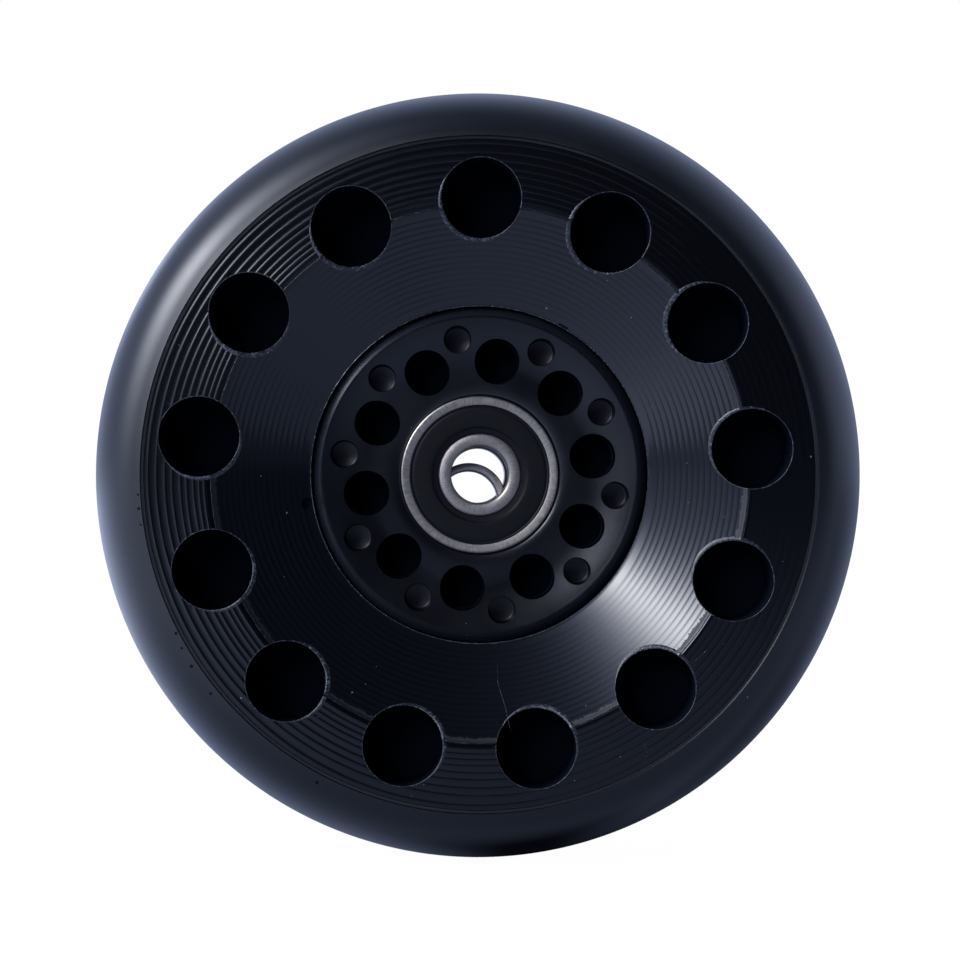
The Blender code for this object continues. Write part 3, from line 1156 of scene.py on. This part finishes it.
def bearing_piece(name, rows, segments, mid, facing, body, slot, node, made, angle=35):
    """A turned bearing piece; facing is 1 if its own +height looks to the front."""
    moved = [(r, mid + facing * h) for r, h in rows]
    points, faces = turned(moved, segments)
    obj = thing(name, mesh_of(name, points, faces))
    smooth(obj.data, angle)
    return finish_piece(name, obj, body, slot, [node], made)


for end, facing in (("front", 1), ("rear", -1)):
    mid = facing * BEARING_MID
    bearing_piece(f"{end}_race_outer", outer_ring, 192, mid, facing, "wheel", "ring_steel", f"{end}_outer_ring", ring_steel)
    bearing_piece(f"{end}_race_inner", inner_ring, 160, mid, facing, "axle_side", "ring_steel", f"{end}_inner_ring", ring_steel)
    bearing_piece(f"{end}_seal_out", seal_rows, 192, mid, facing, "wheel", "seal_rubber", f"{end}_outer_seal", seal_rubber, 60)
    bearing_piece(f"{end}_seal_in", seal_rows, 96, mid, -facing, "wheel", "seal_rubber", f"{end}_inner_seal", seal_rubber, 60)

    body = f"{end}_cage"
    angles = [TAU * (k + 0.25) / BALLS for k in range(BALLS)]
    moved = [(r, mid + facing * h) for r, h in cage_rows]
    points, faces = turned(moved, 140)
    cage = thing(f"{end}_retainer", mesh_of(f"{end}_retainer", points, faces))
    pockets = bmesh.new()
    for angle in angles:
        made = bmesh.ops.create_icosphere(pockets, subdivisions=3, radius=2.1 * MM)
        bmesh.ops.translate(
            pockets,
            verts=made["verts"],
            vec=(BALL_PITCH_R * MM * math.cos(angle), -mid * MM, BALL_PITCH_R * MM * math.sin(angle)),
        )
    pocket_mesh = bpy.data.meshes.new("pockets")
    pockets.to_mesh(pocket_mesh)
    pockets.free()
    carve(cage, pocket_mesh)
    smooth(cage.data, 35)
    finish_piece(cage.name, cage, body, "cage_nylon", [f"{end}_cage"], cage_nylon)
    for k, angle in enumerate(angles):
        made = bmesh.new()
        bmesh.ops.create_icosphere(made, subdivisions=4, radius=BALL_R * MM)
        bmesh.ops.translate(
            made,
            verts=made.verts,
            vec=(BALL_PITCH_R * MM * math.cos(angle), -mid * MM, BALL_PITCH_R * MM * math.sin(angle)),
        )
        mesh = bpy.data.meshes.new(f"{end}_steel_ball_{k + 1}")
        made.to_mesh(mesh)
        made.free()
        mesh.shade_smooth()
        finish_piece(mesh.name, thing(mesh.name, mesh), body, "ball_steel", [f"{end}_ball_{k + 1}"], ball_steel)


# ---------------------------------------------------------------------- spacer

low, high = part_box("centre_spacer")
spacer_middle = (low + high) / 2
spacer_half = (high.y - low.y) / 2 / MM
spacer_r = (high.z - low.z) / 2 / MM
spacer_rows = [
    (4.15, spacer_half - 0.22),
    (4.21, spacer_half - 0.08),
    (4.35, spacer_half),
    (spacer_r - 0.20, spacer_half),
    (spacer_r - 0.07, spacer_half - 0.06),
    (spacer_r, spacer_half - 0.2),
]
points, faces = turned(both_ends(spacer_rows), 160)
points = points + np.array([spacer_middle.x / MM, 0, spacer_middle.z / MM])
spacer = thing("spacer_tube", mesh_of("spacer_tube", points, faces))
smooth(spacer.data, 35)
finish_piece("spacer_tube", spacer, "spacer", "spacer_steel", ["centre_spacer"], spacer_steel)


# ------------------------------------------------------------- floor and light


def tint(nodes, level):
    """A radiance turned into a colour: cool in the shade, near white in the light."""
    cool = nodes.math("DIVIDE", 1.0, nodes.math("ADD", 1.0, nodes.math("MULTIPLY", level, 0.35)))
    red = nodes.math("MULTIPLY", level, nodes.math("SUBTRACT", 1.0, nodes.math("MULTIPLY", cool, 0.28)))
    green = nodes.math("MULTIPLY", level, nodes.math("SUBTRACT", 1.0, nodes.math("MULTIPLY", cool, 0.09)))
    blue = nodes.math("MULTIPLY", level, nodes.math("ADD", 1.0, nodes.math("MULTIPLY", cool, 0.5)))
    return nodes.add("ShaderNodeCombineColor", {"Red": red, "Green": green, "Blue": blue}).outputs[0]


def ramp(nodes, value, stops, scale):
    """A curve of (value, level) stops."""
    node = nodes.add("ShaderNodeValToRGB")
    node.color_ramp.interpolation = "LINEAR"
    elements = node.color_ramp.elements
    while len(elements) < len(stops):
        elements.new(1.0)
    for element, (at, level) in zip(elements, stops):
        element.position = at
    for element, (at, level) in zip(elements, stops):
        share = level / scale
        element.color = (share, share, share, 1)
    nodes.put(node.inputs[0], value)
    split = nodes.add("ShaderNodeSeparateColor", {"Color": node.outputs[0]})
    return nodes.math("MULTIPLY", split.outputs[0], scale)


def soft_lamp(nodes, azimuth, theta, centre, lean, near, far, width, widen, power, strength):
    """A soft-edged panel of light, wedge-shaped, round the front direction."""
    middle = nodes.math(
        "ADD",
        math.radians(centre),
        nodes.math("MULTIPLY", nodes.math("SUBTRACT", theta, math.radians(26)), lean),
    )
    off = nodes.math("WRAP", nodes.math("SUBTRACT", azimuth, middle), math.pi, -math.pi)
    half = nodes.math(
        "ADD",
        math.radians(width),
        nodes.math("MULTIPLY", nodes.math("MAXIMUM", nodes.math("SUBTRACT", theta, math.radians(26)), 0.0), widen),
    )
    share = nodes.math("DIVIDE", off, half)
    fall = nodes.math("DIVIDE", 1.0, nodes.math("POWER", nodes.math("ADD", 1.0, nodes.math("MULTIPLY", share, share)), power))
    start = nodes.rescale(theta, math.radians(near[0]), math.radians(near[1]), 0.0, 1.0)
    stop = nodes.rescale(theta, math.radians(far[0]), math.radians(far[1]), 1.0, 0.0)
    shape = nodes.math("MULTIPLY", nodes.math("MULTIPLY", start, stop), fall)
    return nodes.math("MULTIPLY", shape, strength)


def build_world():
    world = bpy.data.worlds.new("studio")
    bpy.context.scene.world = world
    world.use_nodes = True
    world.node_tree.nodes.clear()
    nodes = Nodes(world.node_tree)
    direction = nodes.add("ShaderNodeTexCoord").outputs["Generated"]
    split = nodes.add("ShaderNodeSeparateXYZ", {"Vector": direction})
    x, y, z = (split.outputs[k] for k in range(3))
    theta = nodes.math("ARCCOSINE", nodes.math("MULTIPLY", y, -1.0))
    azimuth = nodes.math("ARCTAN2", z, x)
    turn = nodes.math("DIVIDE", theta, math.pi)

    def curve(stops):
        return ramp(nodes, turn, [(d / 180, v) for d, v in stops], 2.0)

    right = curve(
        [(0, 0.02), (15, 0.03), (27, 0.07), (45, 0.12), (62, 0.25), (78, 0.62), (97, 0.82), (115, 0.68), (138, 0.52), (153, 0.52), (166, 0.45), (180, 0.35)]
    )
    top = curve(
        [(0, 0.03), (15, 0.05), (27, 0.07), (60, 0.12), (85, 0.18), (97, 0.22), (106, 0.30), (115, 0.41), (127, 0.47), (138, 0.54), (153, 0.68), (166, 0.55), (180, 0.35)]
    )
    left = curve(
        [(0, 0.06), (12, 0.12), (20, 0.30), (27, 0.45), (40, 0.75), (57, 0.9), (78, 0.95), (97, 0.88), (115, 0.64), (138, 0.52), (153, 0.68), (166, 0.5), (180, 0.35)]
    )
    cos_a = nodes.math("COSINE", azimuth)
    to_right = nodes.math("MAXIMUM", cos_a, 0.0)
    to_left = nodes.math("MAXIMUM", nodes.math("MULTIPLY", cos_a, -1.0), 0.0)
    w_right = nodes.math("MULTIPLY", to_right, to_right)
    w_left = nodes.math("MULTIPLY", to_left, to_left)
    w_top = nodes.math("SUBTRACT", 1.0, nodes.math("MULTIPLY", cos_a, cos_a))
    base = nodes.math(
        "ADD",
        nodes.math("ADD", nodes.math("MULTIPLY", right, w_right), nodes.math("MULTIPLY", left, w_left)),
        nodes.math("MULTIPLY", top, w_top),
    )
    key = soft_lamp(nodes, azimuth, theta, 141.2, 0.06, (11.5, 23), (68, 106), 10.5, 0.06, 1.8, 19.5)
    # The panel is dimmer between its inner end and its middle.
    dim = nodes.rescale(theta, math.radians(28), math.radians(37), 0.0, 0.60)
    dim = nodes.math(
        "MULTIPLY", dim, nodes.rescale(theta, math.radians(42), math.radians(66), 1.0, 0.0)
    )
    key = nodes.math("MULTIPLY", key, nodes.math("SUBTRACT", 1.0, dim))
    back = soft_lamp(nodes, azimuth, theta, 146.0, 0.0, (146, 152), (162, 169), 11.0, 0.0, 1.6, 1.3)
    level = nodes.math("ADD", base, nodes.math("ADD", key, back))
    seen = nodes.add("ShaderNodeLightPath").outputs["Is Camera Ray"]
    colour = nodes.mix(seen, tint(nodes, level), (1.02, 1.02, 1.02, 1))
    shade = nodes.add("ShaderNodeBackground", {"Color": colour, "Strength": 1.0})
    out = nodes.add("ShaderNodeOutputWorld")
    nodes.put(out.inputs["Surface"], shade.outputs[0])
    world.cycles.sampling_method = "MANUAL"
    world.cycles.sample_map_resolution = 1024


build_world()


def build_floor():
    mesh = bpy.data.meshes.new("floor")
    size = 4.0
    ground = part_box("tyre")[0].z
    mesh.from_pydata(
        [(-size, -size, ground), (size, -size, ground), (size, size, ground), (-size, size, ground)],
        [],
        [(0, 1, 2, 3)],
    )
    floor = thing("floor", mesh)
    made = bpy.data.materials.new("table_top")
    made.use_nodes = True
    made.node_tree.nodes.clear()
    nodes = Nodes(made.node_tree)
    split = nodes.add("ShaderNodeSeparateXYZ", {"Vector": nodes.place()})
    x, y = split.outputs[0], split.outputs[1]
    # Distance from the line where the tread touches the floor.
    beside = nodes.math("ABSOLUTE", x)
    before = nodes.math("MAXIMUM", nodes.math("SUBTRACT", nodes.math("ABSOLUTE", y), 0.009), 0.0)
    away = nodes.math(
        "SQRT", nodes.math("ADD", nodes.math("MULTIPLY", beside, beside), nodes.math("MULTIPLY", before, before))
    )
    # Painted light: the floor's reflected glow is brighter to the left, on the lamp's side, and dimmer to the
    # right.
    painted_side_light = nodes.rescale(x, -0.16, 0.02, 1.25, 0.52)
    # Painted contact shade: the darkening right beside the contact reaches a good way along the tread.
    along = nodes.math(
        "MULTIPLY", nodes.math("ABSOLUTE", nodes.math("SUBTRACT", x, 0.007)), 0.24
    )
    close = nodes.math(
        "SQRT", nodes.math("ADD", nodes.math("MULTIPLY", along, along), nodes.math("MULTIPLY", before, before))
    )
    shade = nodes.math(
        "MULTIPLY",
        nodes.rescale(close, 0.0005, 0.007, 0.03, 1.0),
        nodes.rescale(away, 0.004, 0.19, 0.60, 1.0),
    )
    # A painted shadow of the wheel falls to the right and behind it.
    behind = nodes.math(
        "MULTIPLY", nodes.rescale(x, 0.0, 0.02, 0.0, 1.0), nodes.rescale(y, -0.012, 0.004, 0.0, 1.0)
    )
    lit = nodes.rescale(away, 0.02, 0.14, 0.25, 0.65)
    painted_shadow = nodes.math(
        "SUBTRACT", 1.0, nodes.math("MULTIPLY", behind, nodes.math("SUBTRACT", 1.0, lit))
    )
    # Painted shade: the floor's reflected glow is darker in front of the wheel on the right.
    painted_corner_shade = nodes.math(
        "MULTIPLY", nodes.rescale(x, -0.02, 0.14, 0.0, 0.25), nodes.rescale(y, -0.24, -0.06, 1.0, 0.0)
    )
    shade = nodes.math("MULTIPLY", shade, nodes.math("SUBTRACT", 1.0, painted_corner_shade))
    # Painted fall-off: the floor's reflected glow dims far in front of the wheel, sooner along the strip before it
    # than to the sides.
    near_axis = nodes.math(
        "MULTIPLY", nodes.rescale(x, -0.10, -0.03, 0.0, 1.0), nodes.rescale(x, 0.02, 0.07, 1.0, 0.0)
    )
    near_far = nodes.rescale(y, -0.46, -0.16, 0.40, 1.0)
    wide_far = nodes.rescale(y, -0.85, -0.55, 0.35, 1.0)
    far = nodes.math(
        "ADD",
        nodes.math("MULTIPLY", near_far, near_axis),
        nodes.math("MULTIPLY", wide_far, nodes.math("SUBTRACT", 1.0, near_axis)),
    )
    # The floor's glow seen in reflections is painted light and shade: brighter on the lamp's side, with painted
    # contact shade, a painted shadow, a painted shaded corner and a painted fall-off far away.
    level = nodes.math(
        "MULTIPLY", nodes.math("MULTIPLY", nodes.math("MULTIPLY", painted_side_light, shade), far), painted_shadow
    )
    painted_floor_glow = nodes.add("ShaderNodeEmission", {"Color": tint(nodes, level), "Strength": 1.0})
    # Painted contact shade: the floor's camera-seen glow dims very slightly where the tread touches it.
    painted_contact_dimming = nodes.rescale(away, 0.0, 0.004, 0.985, 1.0)
    glow = nodes.add("ShaderNodeEmission", {"Color": (1.0, 1.0, 1.0, 1), "Strength": nodes.math("MULTIPLY", painted_contact_dimming, 0.985)})
    matte = nodes.add("ShaderNodeBsdfDiffuse", {"Color": (0.042, 0.038, 0.034, 1)})
    white = nodes.add("ShaderNodeAddShader")
    nodes.put(white.inputs[0], glow.outputs[0])
    nodes.put(white.inputs[1], matte.outputs[0])
    pick = nodes.add("ShaderNodeMixShader")
    nodes.put(pick.inputs[0], nodes.add("ShaderNodeLightPath").outputs["Is Camera Ray"])
    nodes.put(pick.inputs[1], painted_floor_glow.outputs[0])
    nodes.put(pick.inputs[2], white.outputs[0])
    out = nodes.add("ShaderNodeOutputMaterial")
    nodes.put(out.inputs["Surface"], pick.outputs[0])
    mesh.materials.append(made)
    return floor


build_floor()

# ---------------------------------------------------------------------- camera

camera = bpy.data.objects.new("camera", bpy.data.cameras.new("camera"))
bpy.context.scene.collection.objects.link(camera)
camera.data.sensor_width = 36.0
camera.data.lens = 103.64
camera.data.clip_start = 0.01
camera.location = (-0.0066, -0.4, -0.0026)
aim = Vector((0.00025, 0.0, -0.00069)) - camera.location
camera.rotation_mode = "QUATERNION"
camera.rotation_quaternion = aim.to_track_quat("-Z", "Y")
bpy.context.scene.camera = camera
bpy.context.scene.view_settings.view_transform = "Standard"
bpy.context.scene.view_settings.look = "None"

bpy.context.view_layer.update()
